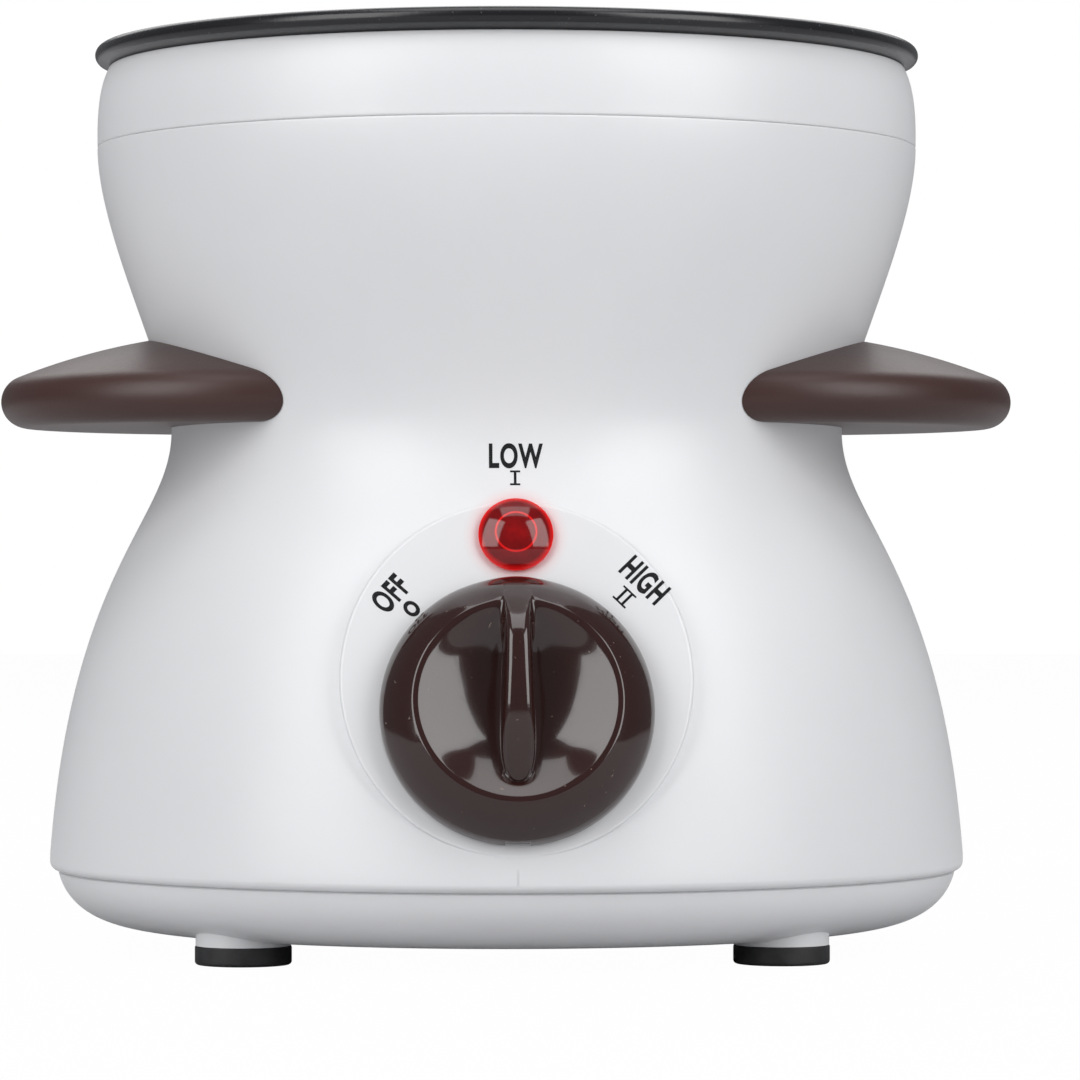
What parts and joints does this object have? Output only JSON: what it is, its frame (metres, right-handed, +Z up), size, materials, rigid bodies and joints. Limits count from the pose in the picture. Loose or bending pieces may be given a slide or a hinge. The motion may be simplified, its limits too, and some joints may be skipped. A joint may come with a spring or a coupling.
{
  "type": "electric fondue pot",
  "caption": "Waisted white electric fondue pot with a lift-out black pot, brown side handles, a sloping dial face with rotary knob and a red indicator lens.",
  "frame": {"origin": "on the table, on the vertical axis of the round housing, midway between the four feet", "axes": "+Z up along the housing's axis, +X to the right-hand handle as seen from the dial, -Y towards the dial"},
  "size_m": [0.1446, 0.1386, 0.1284],
  "materials": {
    "white_plastic": "white satin moulding",
    "brown_satin": "dark brown, finely grained",
    "brown_gloss": "dark brown, polished",
    "black_rubber": "soft black rubber",
    "black_coating": "black non-stick coating on aluminium",
    "bare_aluminium": "drawn and cast, bare",
    "steel": "zinc plated",
    "mica": "pressed mica sheet",
    "red_lens": "clear red moulding",
    "lamp_glass": "clear glass bulb",
    "black_plastic": "black moulded housing"
  },
  "bodies": {
    "base": {"housing": "white_plastic", "collar": "white_plastic", "base_pan": "white_plastic", "foot_pad_front_left": "black_rubber", "foot_pad_front_right": "black_rubber", "foot_pad_rear_left": "black_rubber", "foot_pad_rear_right": "black_rubber", "base_screws": "steel", "handle_left": "brown_satin", "handle_right": "brown_satin", "handle_screws": "steel", "liner": "bare_aluminium", "heating_plate": "bare_aluminium", "heater_element": "mica", "heater_clamp": "steel", "heater_nuts": "steel", "thermostat": "black_plastic", "thermostat_screws": "steel", "thermal_fuse": "steel", "fuse_strap": "steel", "indicator_lens": "red_lens", "lens_retainer": "steel", "neon_lamp": "lamp_glass", "switch_body": "black_plastic", "switch_screws": "steel", "cord_bush": "black_rubber", "terminal_block": "white_plastic", "terminal_screws": "steel"},
    "control_knob": {"knob": "brown_gloss", "knob_clip": "steel", "switch_shaft": "steel"},
    "pot": {"pot": "black_coating"}
  },
  "joints": [
    {"name": "knob_turn", "type": "hinge", "parent": "base", "child": "control_knob", "pos_m": [0, -0.05967, 0.03478], "axis": [0, -0.9613, 0.2757], "range_deg": [-45, 45]},
    {"name": "pot_lift", "type": "slide", "parent": "base", "child": "pot", "axis": [0, 0, 1], "range_m": [0, 0.08]}
  ]
}
